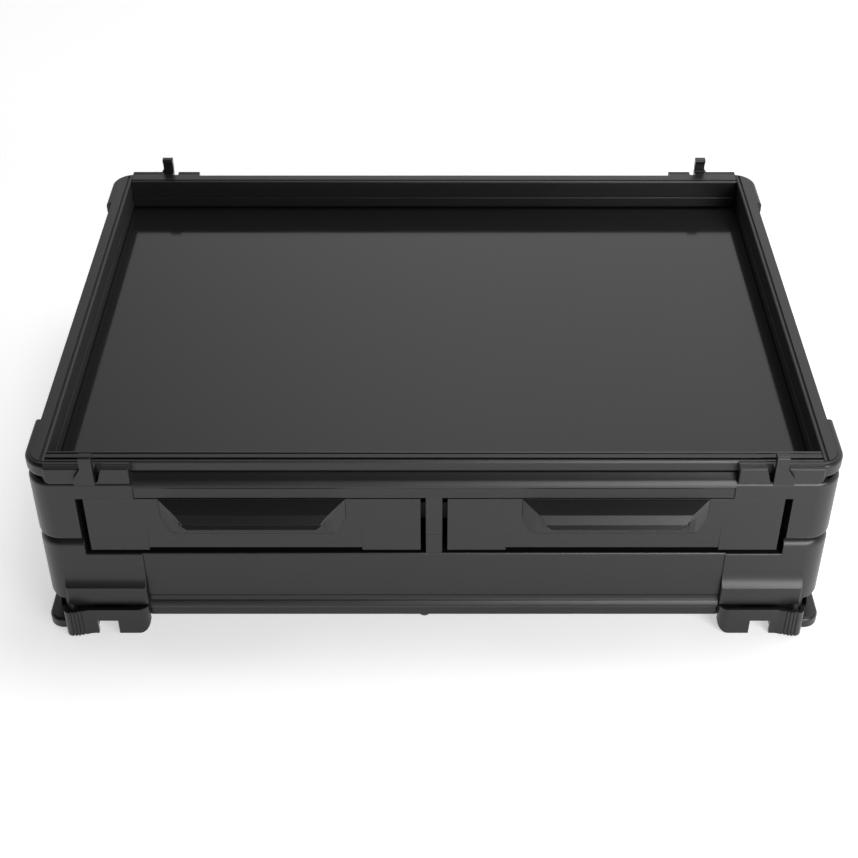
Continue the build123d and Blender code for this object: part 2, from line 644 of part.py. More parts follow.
def hook():
    """Stacking hook: a flared post with a rounded nose."""
    low = HOOK_X - HOOK_WIDTH / 2
    top = RIM_TOP + HOOK_RISE
    nose_bottom = top - HOOK_NOSE_HEIGHT
    shelf = RIM_TOP - RIM_BAND_DROP
    with BuildPart() as post:
        with BuildSketch(Plane.YZ.offset(low)) as profile:
            with BuildLine():
                Polyline(
                    (HALF_DEPTH + HOOK_BACK, HOOK_SEAT),
                    (HALF_DEPTH + HOOK_FRONT, HOOK_SEAT),
                    (HALF_DEPTH + HOOK_FRONT, top),
                    (HALF_DEPTH + HOOK_NOSE_BACK, top),
                    (HALF_DEPTH + HOOK_NOSE_BACK, nose_bottom + HOOK_NECK_BACK - HOOK_NOSE_BACK),
                    (HALF_DEPTH + HOOK_NECK_BACK, nose_bottom),
                    (HALF_DEPTH + HOOK_NECK_BACK, shelf),
                    (HALF_DEPTH + HOOK_BACK, shelf),
                    close=True,
                )
            make_face()
            fillet(profile.vertices().group_by(Axis.Y)[-1], HOOK_ROUND)
        extrude(amount=HOOK_WIDTH)
        extrude(hook_outline(Plane.XZ, 0, 0, 0), amount=-FAR, mode=Mode.INTERSECT)
    return post.part


def latch_path(inner, middle):
    """Line along the middle of the latch's wall in plan: a bent end, the plate, and the grip's bend."""
    outer = inner + LATCH_LENGTH - LATCH_WALL
    grip_start = outer - GRIP_LENGTH
    with BuildLine() as path:
        FilletPolyline(
            (inner, HALF_DEPTH + LATCH_END_BACK),
            (inner, middle),
            (grip_start, middle),
            (grip_start + GRIP_FLARE_RUN, middle + GRIP_FLARE),
            (outer, middle + GRIP_FLARE),
            (outer, HALF_DEPTH + GRIP_BACK),
            radius=[LATCH_BEND, GRIP_FLARE_BEND, GRIP_FLARE_BEND, GRIP_BEND],
        )
    return path.line


def grip_grooves(path, first, middle):
    """Plan of the upright grooves in the outside of the grip."""
    with BuildSketch(Plane.XY.offset(LATCH_BOTTOM)) as bars:
        for groove in range(GRIP_GROOVES):
            with Locations((first + groove * GRIP_GROOVE_PITCH, middle)):
                Rectangle(GRIP_GROOVE_WIDTH, 2 * LATCH_PROUD, align=(Align.CENTER, Align.MIN))
    with BuildSketch(Plane.XY.offset(LATCH_BOTTOM)) as grooves:
        trace(path, LATCH_WALL)
        trace(path, LATCH_WALL - 2 * GRIP_GROOVE_DEPTH, mode=Mode.SUBTRACT)
        add(bars.sketch_local, mode=Mode.INTERSECT)
    return grooves.sketch


def latch():
    """Sliding latch: a bent plate with a grooved grip, a notch for the hook and a tongue in the guide."""
    middle = HALF_DEPTH + LATCH_PROUD - LATCH_WALL / 2
    inner = LEG_X + LATCH_INSET + LATCH_WALL / 2
    height = LATCH_TOP - LATCH_BOTTOM
    path = latch_path(inner, middle)
    first_groove = inner + LATCH_LENGTH - LATCH_WALL - GRIP_LENGTH + GRIP_GROOVE_START
    with BuildPart() as plate:
        with BuildSketch(Plane.XY.offset(LATCH_BOTTOM)):
            trace(path, LATCH_WALL)
        extrude(amount=height)
        extrude(grip_grooves(path, first_groove, middle), amount=height, mode=Mode.SUBTRACT)
        with BuildSketch(Plane.XZ) as corner_cut:
            with Locations((inner - LATCH_WALL, LATCH_BOTTOM)):
                Rectangle(LATCH_CORNER + LATCH_WALL / 2, LATCH_CORNER, align=ALIGN_LOW)
            with Locations((inner - LATCH_WALL / 2 + LATCH_CORNER, LATCH_BOTTOM + LATCH_CORNER)):
                Circle(LATCH_CORNER, mode=Mode.SUBTRACT)
        extrude(corner_cut.sketch, amount=-FAR, mode=Mode.SUBTRACT)
        with Locations((HOOK_X + NOTCH_OFFSET, middle, LATCH_BOTTOM)):
            Box(NOTCH_WIDTH, 2 * LATCH_WALL, NOTCH_HEIGHT, align=ALIGN_BASE, mode=Mode.SUBTRACT)
        slot_back = HALF_DEPTH + SEAT + GUIDE_BACK
        slot_front = HALF_DEPTH + GUIDE_PROUD - GUIDE_LIP
        tongue_align = (Align.CENTER, Align.MIN, Align.CENTER)
        with Locations((HOOK_X, slot_back + RUNNING, SLOT_LEVEL)):
            Box(
                TONGUE_LENGTH,
                slot_front - slot_back - 2 * RUNNING,
                SLOT_HEAD - 2 * RUNNING,
                align=tongue_align,
            )
            Box(
                TONGUE_LENGTH,
                middle - slot_back - RUNNING,
                SLOT_MOUTH - 2 * RUNNING,
                align=tongue_align,
            )
    return plate.part


def divider():
    """Upright between the drawers: a post behind the front rails and a web back to the rear rails."""
    front = -DRAWER_FACE
    rear_of_post = SEAT - INSIDE_Y
    with BuildPart() as upright:
        with BuildSketch(Plane.XY.offset(SKIRT_TOP + DIVIDER_FOOT_HEIGHT + SEAT)):
            with Locations((0, front)):
                Rectangle(DIVIDER_WIDTH, rear_of_post - front, align=(Align.CENTER, Align.MIN))
        extrude(amount=OPENING_HEIGHT - DIVIDER_FOOT_HEIGHT - 2 * SEAT)
        fillet(upright.edges().filter_by(Axis.Z).group_by(Axis.Y)[0], RIM_EDGE_ROUND)
        with BuildSketch(Plane.XY.offset(DECK_LEVEL)):
            with Locations((0, rear_of_post)):
                Rectangle(DIVIDER_WEB, 2 * (INSIDE_Y - SEAT), align=(Align.CENTER, Align.MIN))
        extrude(amount=OPENING_TOP - DIVIDER_TOP_GAP - DECK_LEVEL)
    return upright.part


def divider_foot():
    """Foot piece under the divider's post, on the front skirt rail."""
    with BuildPart() as foot:
        with BuildSketch(Plane.XY.offset(SKIRT_TOP + SEAT)):
            with Locations((0, -DRAWER_FACE)):
                Rectangle(DIVIDER_WIDTH, DRAWER_FACE - INSIDE_Y, align=(Align.CENTER, Align.MIN))
        extrude(amount=DIVIDER_FOOT_HEIGHT - SEAT)
        fillet(foot.edges().filter_by(Axis.Z).group_by(Axis.Y)[0], RIM_EDGE_ROUND)
    return foot.part


def drawer_front():
    """Right drawer's front plate; its middle tapers in towards a lower edge that is set higher."""
    with BuildPart() as plate:
        with BuildSketch(Plane.XZ.offset(-TRAY_FRONT)):
            with Locations((DRAWER_INNER, DRAWER_BOTTOM)):
                Rectangle(DRAWER_OUTER - DRAWER_INNER, DRAWER_TOP - DRAWER_BOTTOM, align=ALIGN_LOW)
            with Locations((DRAWER_CENTRE, DRAWER_BOTTOM)):
                Rectangle(RECESS_WIDTH, RECESS_LIFT, align=(Align.CENTER, Align.MIN), mode=Mode.SUBTRACT)
        extrude(amount=DRAWER_FRONT_THICKNESS)
        with BuildSketch(Plane.YZ.offset(DRAWER_CENTRE - RECESS_WIDTH / 2)):
            with BuildLine():
                Polyline(
                    (-DRAWER_FACE, DRAWER_BOTTOM),
                    (-DRAWER_FACE, DRAWER_BOTTOM + RECESS_HEIGHT),
                    (RECESS_DEPTH - DRAWER_FACE, DRAWER_BOTTOM),
                    close=True,
                )
            make_face()
        extrude(amount=RECESS_WIDTH, mode=Mode.SUBTRACT)
        add(pull_screw_holes(), mode=Mode.SUBTRACT)
    return plate.part


def pull_screw_holes():
    """Clearance holes for the two screws that hold tray, front and pull together."""
    depth = PULL_FACE + TRAY_FRONT + TRAY_WALL + PULL_BACK
    with BuildPart() as holes:
        with BuildSketch(Plane.XZ.offset(-TRAY_FRONT - TRAY_WALL)):
            with Locations((DRAWER_CENTRE, PULL_SCREW_LEVEL)):
                with GridLocations(PULL_SCREW_SPREAD, 1, 2, 1):
                    Circle(SCREW_RADIUS + SCREW_FIT)
        extrude(amount=depth)
    return holes.part


def drawer_side(is_outer):
    """Right drawer's side: an extruded strip with a running rib outside and a groove for the base inside."""
    outside = TRAY_OUTER if is_outer else TRAY_INNER
    inside = TRAY_OUTER - SIDE_WALL if is_outer else TRAY_INNER + SIDE_WALL
    outward = (Align.MIN, Align.MIN) if is_outer else (Align.MAX, Align.MIN)
    inward = (Align.MAX, Align.MIN) if is_outer else (Align.MIN, Align.MIN)
    with BuildPart() as strip:
        with BuildSketch(Plane.XZ.offset(-TRAY_FRONT)) as profile:
            with Locations((outside, TRAY_BOTTOM)):
                Rectangle(SIDE_WALL, TRAY_HEIGHT, align=inward)
            fillet(profile.vertices().group_by(Axis.Y)[-1], RIM_EDGE_ROUND)
            with Locations((outside, RIB_BOTTOM)):
                Rectangle(RIB_REACH, RIB_HEIGHT, align=outward)
            with Locations((inside, TRAY_BOTTOM + BASE_LIFT - PANEL_PLAY)):
                groove = BASE_THICKNESS + 2 * PANEL_PLAY
                Rectangle(BASE_BITE + PANEL_PLAY, groove, align=outward, mode=Mode.SUBTRACT)
        extrude(amount=-TRAY_LENGTH)
    return strip.part


def drawer_base():
    """Right drawer's base sheet, held in the grooves of its two sides."""
    reach = SIDE_WALL - BASE_BITE
    with BuildPart() as base:
        with Locations((TRAY_INNER + reach, TRAY_FRONT, TRAY_BOTTOM + BASE_LIFT)):
            Box(TRAY_OUTER - TRAY_INNER - 2 * reach, TRAY_LENGTH, BASE_THICKNESS, align=ALIGN_LOW_3D)
    return base.part


def drawer_end(is_front):
    """Right drawer's wall behind its front plate, or its rear wall with the lip that meets the stop."""
    bottom = TRAY_BOTTOM + BASE_LIFT + BASE_THICKNESS
    face = TRAY_FRONT if is_front else TRAY_REAR - TRAY_WALL
    with BuildPart() as wall:
        with BuildSketch(Plane.XZ.offset(-face)) as outline:
            with Locations((TRAY_INNER + SIDE_WALL, bottom)):
                Rectangle(TRAY_OUTER - TRAY_INNER - 2 * SIDE_WALL, TRAY_TOP - bottom, align=ALIGN_LOW)
                if not is_front:
                    Rectangle(STOP_LIP_LENGTH, TRAY_TOP + STOP_LIP_RISE - bottom, align=ALIGN_LOW)
            fillet(outline.vertices().group_by(Axis.Y)[-1], RIM_EDGE_ROUND)
        extrude(amount=-TRAY_WALL)
        if is_front:
            add(pull_screw_holes(), mode=Mode.SUBTRACT)
    return wall.part


def drawer_stop():
    """Stop on the divider that the right drawer's lip meets at full travel."""
    lip_face = TRAY_REAR - TRAY_WALL - DRAWER_TRAVEL
    reach = TRAY_INNER + SIDE_WALL + STOP_LIP_LENGTH
    with BuildPart() as stop:
        with Locations((DIVIDER_WEB / 2, lip_face - RUNNING, TRAY_TOP + STOP_CLEAR)):
            Box(reach - DIVIDER_WEB / 2, STOP_THICKNESS, STOP_HEIGHT, align=(Align.MIN, Align.MAX, Align.MIN))
        fillet(stop.edges().filter_by(Axis.Z).group_by(Axis.X)[-1], STOP_THICKNESS / 4)
    return stop.part


def runner(is_outer):
    """Right bay's runner: a strip with a groove for the tray's rib, on the deck or on the divider."""
    mouth = TRAY_OUTER + RUNNER_GAP if is_outer else TRAY_INNER - RUNNER_GAP
    groove_end = RIB_REACH - RUNNER_GAP + RUNNING
    side = Align.MIN if is_outer else Align.MAX
    groove_bottom = RIB_BOTTOM - RUNNING
    strip_top = RIB_BOTTOM + RIB_HEIGHT + RUNNER_RISE
    with BuildPart() as strip:
        with BuildSketch(Plane.XZ.offset(-RUNNER_FRONT)):
            if is_outer:
                with Locations((mouth, DECK_LEVEL)):
                    Rectangle(groove_end + RUNNER_WALL, strip_top - DECK_LEVEL, align=ALIGN_LOW)
                    Rectangle(RUNNER_BASE, RUNNER_BASE_HEIGHT, align=ALIGN_LOW)
            else:
                with Locations((mouth, RIB_BOTTOM - RUNNER_RISE)):
                    strip_height = RIB_HEIGHT + 2 * RUNNER_RISE
                    Rectangle(mouth - DIVIDER_WEB / 2, strip_height, align=(Align.MAX, Align.MIN))
            with Locations((mouth, groove_bottom)):
                Rectangle(groove_end, RIB_HEIGHT + 2 * RUNNING, align=(side, Align.MIN), mode=Mode.SUBTRACT)
        extrude(amount=-RUNNER_LENGTH)
        if is_outer:
            with Locations(*runner_screw_places()):
                Cylinder(SCREW_RADIUS + SCREW_FIT, FAR / 10, mode=Mode.SUBTRACT)
    return strip.part


def runner_screw_places():
    """Points on the deck under the right outer runner's screws."""
    flange = RUNNER_BASE - RIB_REACH - RUNNER_WALL
    place_x = TRAY_OUTER + RUNNER_GAP + RUNNER_BASE - flange / 2
    middle = RUNNER_FRONT + RUNNER_LENGTH / 2
    pitch = RUNNER_SCREW_SHARE * RUNNER_LENGTH
    return [(place_x, middle + step * pitch, DECK_LEVEL) for step in (-1, 0, 1)]


def drawer_pull():
    """Right drawer's pull: a bent, bevelled plate between two slanted cheeks, hollow from below."""
    side_view = Plane(origin=(DRAWER_CENTRE, -PULL_FACE, 0), x_dir=(0, -1, 0), z_dir=(-1, 0, 0))
    front_view = Plane(origin=(DRAWER_CENTRE, -PULL_FACE, 0), x_dir=(1, 0, 0), z_dir=(0, -1, 0))
    bottom = PULL_TOP - PULL_SKIRT_DROP
    with BuildPart() as pull:
        with BuildSketch(side_view):
            with BuildLine():
                Polyline(
                    (0, PULL_TOP),
                    (PULL_BREAK_OUT, PULL_TOP - PULL_BREAK_DROP),
                    (PULL_NOSE_OUT, PULL_TOP - PULL_NOSE_DROP),
                    (PULL_LIP_OUT, PULL_TOP - PULL_LIP_DROP),
                    (0, bottom),
                    close=True,
                )
            make_face()
        extrude(amount=PULL_WIDTH / 2, both=True)
        extrude(pull_plan(bottom, 0), amount=PULL_SKIRT_DROP, mode=Mode.INTERSECT)
        with BuildSketch(front_view):
            with BuildLine():
                Polyline(
                    (-PULL_WIDTH / 2, PULL_TOP),
                    (-PULL_WIDTH / 2, PULL_TOP - PULL_CHEEK_DROP),
                    (-PULL_SKIRT_WIDTH / 2, bottom),
                    (PULL_SKIRT_WIDTH / 2, bottom),
                    (PULL_WIDTH / 2, PULL_TOP - PULL_CHEEK_DROP),
                    (PULL_WIDTH / 2, PULL_TOP),
                    close=True,
                )
            make_face()
        extrude(amount=PULL_NOSE_OUT, mode=Mode.INTERSECT)
        with BuildSketch(front_view.offset(PULL_CHEEK_OUT)):
            lip_half = PULL_WIDTH / 2 - PULL_LIP_OUT / PULL_NOSE_OUT * (PULL_WIDTH - PULL_NOSE_WIDTH) / 2
            round_level = PULL_TOP - PULL_LIP_DROP + PULL_LIP_CORNER
            for end in (-1, 1):
                with Locations((end * lip_half, round_level)):
                    Rectangle(2 * PULL_LIP_CORNER, PULL_SKIRT_DROP, align=(Align.CENTER, Align.MAX))
                with Locations((end * (lip_half - PULL_LIP_CORNER), round_level)):
                    Circle(PULL_LIP_CORNER, mode=Mode.SUBTRACT)
        extrude(amount=PULL_NOSE_OUT, mode=Mode.SUBTRACT)
        add(pull_cavity(side_view, bottom), mode=Mode.SUBTRACT)
        add(pull_screw_holes(), mode=Mode.SUBTRACT)
    return pull.part


def pull_plan(level, wall):
    """Plan of the pull, widest on the drawer's face, set in by a wall thickness."""
    half_back = PULL_WIDTH / 2 - wall
    half_nose = PULL_NOSE_WIDTH / 2 - wall
    with BuildSketch(Plane.XY.offset(level)) as plan:
        with BuildLine():
            Polyline(
                (DRAWER_CENTRE - half_back, -PULL_FACE),
                (DRAWER_CENTRE - half_nose, -PULL_FACE - PULL_NOSE_OUT),
                (DRAWER_CENTRE + half_nose, -PULL_FACE - PULL_NOSE_OUT),
                (DRAWER_CENTRE + half_back, -PULL_FACE),
                close=True,
            )
        make_face()
    return plan.sketch


def pull_cavity(side_view, bottom):
    """Finger space inside the pull, open below."""
    with BuildPart() as cavity:
        with BuildSketch(side_view):
            with BuildLine():
                Polyline(
                    (PULL_BACK, PULL_TOP - PULL_BACK - 2 * PULL_WALL),
                    (PULL_BREAK_OUT - PULL_WALL, PULL_TOP - PULL_BREAK_DROP - PULL_WALL / 2),
                    (PULL_NOSE_OUT - PULL_WALL, PULL_TOP - PULL_NOSE_DROP - PULL_WALL / 2),
                    (PULL_LIP_OUT - PULL_WALL, PULL_TOP - PULL_LIP_DROP),
                    (PULL_LIP_OUT - PULL_WALL, bottom - PULL_WALL),
                    (PULL_BACK, bottom - PULL_WALL),
                    close=True,
                )
            make_face()
        extrude(amount=PULL_WIDTH / 2, both=True)
        extrude(pull_plan(bottom - PULL_WALL, 2 * PULL_WALL), amount=PULL_SKIRT_DROP, mode=Mode.INTERSECT)
    return cavity.part


def screw(length):
    """Pan-head screw whose head's underside is at the origin, with its shank up."""
    with BuildPart() as piece:
        Cylinder(SCREW_RADIUS, length, align=ALIGN_BASE)
        Cylinder(SCREW_HEAD_RADIUS, SCREW_HEAD_HEIGHT, align=(Align.CENTER, Align.CENTER, Align.MAX))
        chamfer(piece.faces().sort_by(Axis.Z)[0].edges(), SCREW_HEAD_HEIGHT / 3)
    return piece.part


def screw_group(length, places):
    """Several equal screws as separate solids."""
    with BuildPart() as group:
        with Locations(*places):
            add(screw(length))
    return group.part


def corner_screw_places():
    """Screws from inside the skirt into the lower corners, two to a corner."""
    places = []
    front_x = HALF_LENGTH - CORNER_SCREW_FRONT
    side_y = HALF_DEPTH - CORNER_SCREW_SIDE
    inside = SKIRT_BACK + PANEL_PLAY
    for sign in (-1, 1):
        for across in (-1, 1):
            origin = (across * front_x, sign * (HALF_DEPTH - inside), CORNER_SCREW_LEVEL)
            places.append(Location(Plane(origin=origin, z_dir=(0, sign, 0))))
            origin = (across * (HALF_LENGTH - inside), sign * side_y, CORNER_SCREW_LEVEL)
            places.append(Location(Plane(origin=origin, z_dir=(across, 0, 0))))
    return places


def panel_screw_places():
    """Screws from inside the side panels into the upper corners."""
    inside = PANEL_FACE_X - PANEL_THICKNESS - PANEL_PLAY
    places = []
    for across in (-1, 1):
        for sign in (-1, 1):
            origin = (across * inside, sign * (HALF_DEPTH - CORNER_SCREW_SIDE), PANEL_SCREW_LEVEL)
            places.append(Location(Plane(origin=origin, z_dir=(across, 0, 0))))
    return places


def pull_screw_places():
    """Screws from inside the right drawer's tray into its pull."""
    places = []
    for step in (-1, 1):
        place_x = DRAWER_CENTRE + step * PULL_SCREW_SPREAD / 2
        origin = (place_x, TRAY_FRONT + TRAY_WALL + PANEL_PLAY, PULL_SCREW_LEVEL)
        places.append(Location(Plane(origin=origin, z_dir=(0, -1, 0))))
    return places


def deck_screw_places():
    """Screws down through both outer runners into the deck."""
    places = []
    for place_x, place_y, level in runner_screw_places():
        for across in (-1, 1):
            origin = (across * place_x, place_y, level + RUNNER_BASE_HEIGHT + PANEL_PLAY)
            places.append(Location(Plane(origin=origin, z_dir=(0, 0, -1))))
    return places


def rail_screw_places():
    """Screw up into the front skirt rail."""
    return [Location((RAIL_SCREW_OFFSET, -HALF_DEPTH, FOOT_CLEAR - PANEL_PLAY))]


def deck():
    """Deck under the drawers, with pilot holes for the runners' screws."""
    length = 2 * (INSIDE_X + SLOT_DEPTH - PANEL_PLAY)
    depth = 2 * (INSIDE_Y + SLOT_DEPTH - PANEL_PLAY)
    with BuildPart() as panel:
        add(flat_panel(length, depth, DECK_LEVEL, DECK_THICKNESS))
        for place_x, place_y, level in runner_screw_places():
            with Locations((place_x, place_y, level), (-place_x, place_y, level)):
                Cylinder(SCREW_RADIUS + SCREW_FIT, 2 * DECK_THICKNESS, mode=Mode.SUBTRACT)
    return panel.part


def save_pair(master, name):
    """Writes the right-hand piece and its mirror image."""
    save(master, f"right_{name}")
    save(mirror(master, about=Plane.YZ), f"left_{name}")


os.makedirs("parts", exist_ok=True)

for frame_side in ("front", "rear", "left", "right"):
    save(top_rail(frame_side), f"{frame_side}_top_rail")
    save(bottom_rail(frame_side), f"{frame_side}_bottom_rail")
for frame_side in ("rear", "left", "right"):
    save(upright_panel(frame_side), f"{frame_side}_panel")

floor_length = 2 * (INSIDE_X + SLOT_DEPTH - PANEL_PLAY)
floor_depth = 2 * (INSIDE_Y + SLOT_DEPTH - PANEL_PLAY)
save(flat_panel(floor_length, floor_depth, TRAY_LEVEL, FLOOR_THICKNESS), "tray_floor")
save(deck(), "drawer_deck")

save_corners(upper_corner(), "upper_corner")
save_corners(lower_corner(), "lower_corner")
save_corners(hook(), "hook")
save_corners(latch(), "latch")

save(divider(), "centre_divider")
save(divider_foot(), "divider_foot")
save_pair(drawer_stop(), "drawer_stop")
save_pair(runner(is_outer=True), "outer_runner")
save_pair(runner(is_outer=False), "inner_runner")
save_pair(drawer_base(), "drawer_base")
save_pair(drawer_side(is_outer=True), "drawer_outer_side")
save_pair(drawer_side(is_outer=False), "drawer_inner_side")
save_pair(drawer_end(is_front=True), "drawer_front_wall")
save_pair(drawer_end(is_front=False), "drawer_rear_wall")
save_pair(drawer_front(), "drawer_front")
save_pair(drawer_pull(), "drawer_pull")

pull_screw_length = TRAY_WALL + DRAWER_FRONT_THICKNESS + SEAT + PULL_BACK - 2 * PANEL_PLAY
save_pair(screw_group(pull_screw_length, pull_screw_places()), "pull_screws")
save(screw_group(SKIRT_BACK + CORNER_SCREW_BITE, corner_screw_places()), "corner_screws")
save(screw_group(PANEL_THICKNESS + CORNER_SCREW_BITE, panel_screw_places()), "panel_screws")
save(screw_group(RUNNER_BASE_HEIGHT + RUNNER_SCREW_BITE, deck_screw_places()), "runner_screws")
save(screw_group(RAIL_SCREW_LENGTH - PANEL_PLAY, rail_screw_places()), "front_rail_screw")
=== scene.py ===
"""Looks of the stacking drawer unit: black finishes on its CAD frame, a pale floor and soft light."""

import json
import math
from typing import NamedTuple

import bmesh
import bpy
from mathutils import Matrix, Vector


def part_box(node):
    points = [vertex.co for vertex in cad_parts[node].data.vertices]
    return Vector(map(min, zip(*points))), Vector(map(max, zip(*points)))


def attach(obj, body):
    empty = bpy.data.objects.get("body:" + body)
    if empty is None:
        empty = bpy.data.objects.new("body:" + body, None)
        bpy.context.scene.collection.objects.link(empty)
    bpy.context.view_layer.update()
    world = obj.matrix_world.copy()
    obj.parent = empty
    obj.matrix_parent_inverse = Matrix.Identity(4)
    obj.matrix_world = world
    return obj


class Finish(NamedTuple):
    """A near-black finish; its edge radius, grain size and grain height are in metres."""

    tone: float
    roughness: float
    edge_radius: float
    grain_size: float
    grain_height: float


class Slope(NamedTuple):
    """One slope of a strip: its lean from upright in degrees, and its length and crown in metres."""

    lean: float
    length: float
    crown: float


class EdgeStrip(NamedTuple):
    """A sloping edge on a front rail, between the corner moulding that ends it and its mirror image.

    The top of its slope is given in Y and Z, and its tuck is the depth of its back in the rail.
    """

    ends_at: str
    top: tuple
    tuck: float
    slopes: tuple


class Lamp(NamedTuple):
    """A soft box that faces its target, in metres and watts."""

    place: tuple
    target: tuple
    width: float
    height: float
    power: float


# Camera, fitted to the photograph: size, principal column and focal length in pixels, pitch in degrees
PHOTO_SIZE = 858
PRINCIPAL_X = 434.0
FOCAL_PIXELS = 1540.07
SENSOR_WIDTH = 36.0
CAMERA_PLACE = (0.0, -0.9995, 0.81491)
CAMERA_PITCH = 38.347

# Finishes of the record's material slots
FINISHES = {
    "rail": Finish(0.009, 0.34, 0.0008, 0.0009, 0.000006),
    "panel": Finish(0.012, 0.42, 0.0004, 0.0012, 0.00001),
    "tray_sheet": Finish(0.012, 0.10, 0.0004, 0.0020, 0.000001),
    "moulding": Finish(0.011, 0.34, 0.0006, 0.0008, 0.000012),
    "fitting": Finish(0.010, 0.32, 0.0006, 0.0008, 0.000012),
    "runner": Finish(0.014, 0.42, 0.0004, 0.0012, 0.00001),
    "drawer_shell": Finish(0.012, 0.42, 0.0004, 0.0010, 0.00001),
    "drawer_face": Finish(0.011, 0.27, 0.0006, 0.0009, 0.000008),
    "screw": Finish(0.090, 0.35, 0.0004, 0.0010, 0.00001),
}
METAL_SLOTS = ("screw",)
BLUE_CAST = 1.03
GLOSS_INDEX = 1.5
GRAIN_DETAIL = 2.0
PATCH_SCALE = 14.0
PATCH_DETAIL = 3.0
PATCH_ROUGHNESS = 0.04
BEVEL_SAMPLES = 6

# Roughness added on walls that face the tray from its left or right end
ROUGH_INSIDE = {"rail": 0.34}
INSIDE_FADE = (-0.2, -0.05)

# Sloping edges along the front rails, read off the photograph's highlights
EDGE_STRIPS = {
    "front_lip_edge": EdgeStrip(
        ends_at="upper_corner_front_left",
        top=(-0.19640, 0.15230),
        tuck=0.0012,
        slopes=(Slope(24.0, 0.0019, 0.00006),),
    ),
    "front_flute_edge": EdgeStrip(
        ends_at="upper_corner_front_left",
        top=(-0.19627, 0.14198),
        tuck=0.0025,
        slopes=(Slope(40.0, 0.00572, -0.00005), Slope(24.0, 0.0052, 0.0002)),
    ),
    "front_skirt_edge": EdgeStrip(
        ends_at="lower_corner_front_left",
        top=(-0.20005, 0.07090),
        tuck=0.0012,
        slopes=(Slope(24.0, 0.0014, 0.00005),),
    ),
    "front_skirt_bead": EdgeStrip(
        ends_at="lower_corner_front_left",
        top=(-0.20030, 0.02420),
        tuck=0.0015,
        slopes=(Slope(26.0, 0.0035, 0.0001),),
    ),
}
EDGE_SLOTS = ("rail", "drawer_face")
EDGE_STEPS = 8
EDGE_SHARP = math.radians(30.0)
EDGE_ROUND = 0.0001

# Finger lip under each pull's nose, which lies at a drop from the pull's top
PULL_NOSE_DROP = 0.0132
PULL_LIP_SLOPES = (Slope(40.0, 0.0034, 0.0),)
PULL_LIP_THICKNESS = 0.0018
PULL_LIP_RUN = 0.0960
PULL_LIP_TAPER = 0.0035
PULL_LIP_END_SHARE = 0.35

# Floor, which glows to the camera and in mirrors
FLOOR_HALF = 6.0
FLOOR_DROP = 0.0002
FLOOR_TONE = 0.8
FLOOR_ROUGHNESS = 0.9
FLOOR_GLOW = 0.52

# Backdrop: its facing, and the ranges over which it fades into the dim room and to its left side
BACKDROP_FACING = (0.06, 0.75, -0.66)
BACKDROP_FADE = (-0.55, -0.05)
BACKDROP_STRENGTH = (0.03, 1.0)
SIDE_FADE = (-0.40, 0.06)
SIDE_SHARE = (0.45, 1.0)

LAMPS = {
    "front_right": Lamp((0.75, -2.10, 0.85), (0.0, -0.2, 0.1), 1.30, 0.80, 5.5),
    "low_right": Lamp((0.70, -2.28, 0.42), (0.0, -0.2, 0.1), 1.10, 0.60, 15.0),
    "near_right": Lamp((0.62, -0.85, 0.45), (0.1, -0.1, 0.1), 0.50, 0.35, 4.5),
    "overhead": Lamp((0.45, 0.40, 2.00), (0.0, 0.0, 0.1), 1.20, 0.90, 17.0),
}

WHITE = (1.0, 1.0, 1.0, 1.0)
ALONG_X = (1.0, 0.0, 0.0)
UNIT_RANGE = (0.0, 1.0)


def add_node(node_tree, kind, inputs=None, **settings):
    """A new shader node with values for some of its settings and inputs."""
    node = node_tree.nodes.new(kind)
    for setting, value in settings.items():
        setattr(node, setting, value)
    for socket, value in (inputs or {}).items():
        node.inputs[socket].default_value = value
    return node


def map_range(node_tree, value, source, target, **settings):
    """A value carried from its source range to a target range, and held at the ends."""
    inputs = {"From Min": source[0], "From Max": source[1], "To Min": target[0], "To Max": target[1]}
    node = add_node(node_tree, "ShaderNodeMapRange", inputs, **settings)
    node_tree.links.new(value, node.inputs["Value"])
    return node.outputs["Result"]


def combine(node_tree, operation, first, second):
    """Two values joined by a mathematical operation."""
    node = add_node(node_tree, "ShaderNodeMath", operation=operation)
    node_tree.links.new(first, node.inputs[0])
    node_tree.links.new(second, node.inputs[1])
    return node.outputs["Value"]


def patchy_roughness(node_tree, coordinates, roughness):
    """Roughness that varies a little from patch to patch."""
    patches = add_node(node_tree, "ShaderNodeTexNoise", {"Scale": PATCH_SCALE, "Detail": PATCH_DETAIL})
    node_tree.links.new(coordinates.outputs["Object"], patches.inputs["Vector"])
    target = (roughness - PATCH_ROUGHNESS, roughness + PATCH_ROUGHNESS)
    return map_range(node_tree, patches.outputs["Fac"], UNIT_RANGE, target)


def inside_roughness(node_tree, coordinates, most):
    """Roughness for walls whose outward side faces the middle of the unit along X, and nought elsewhere."""
    across = add_node(node_tree, "ShaderNodeVectorMath", {1: ALONG_X}, operation="MULTIPLY")
    outward = add_node(node_tree, "ShaderNodeVectorMath", operation="DOT_PRODUCT")
    node_tree.links.new(coordinates.outputs["Object"], across.inputs[0])
    node_tree.links.new(across.outputs["Vector"], outward.inputs[0])
    node_tree.links.new(coordinates.outputs["Normal"], outward.inputs[1])
    return map_range(node_tree, outward.outputs["Value"], INSIDE_FADE, (most, 0.0))


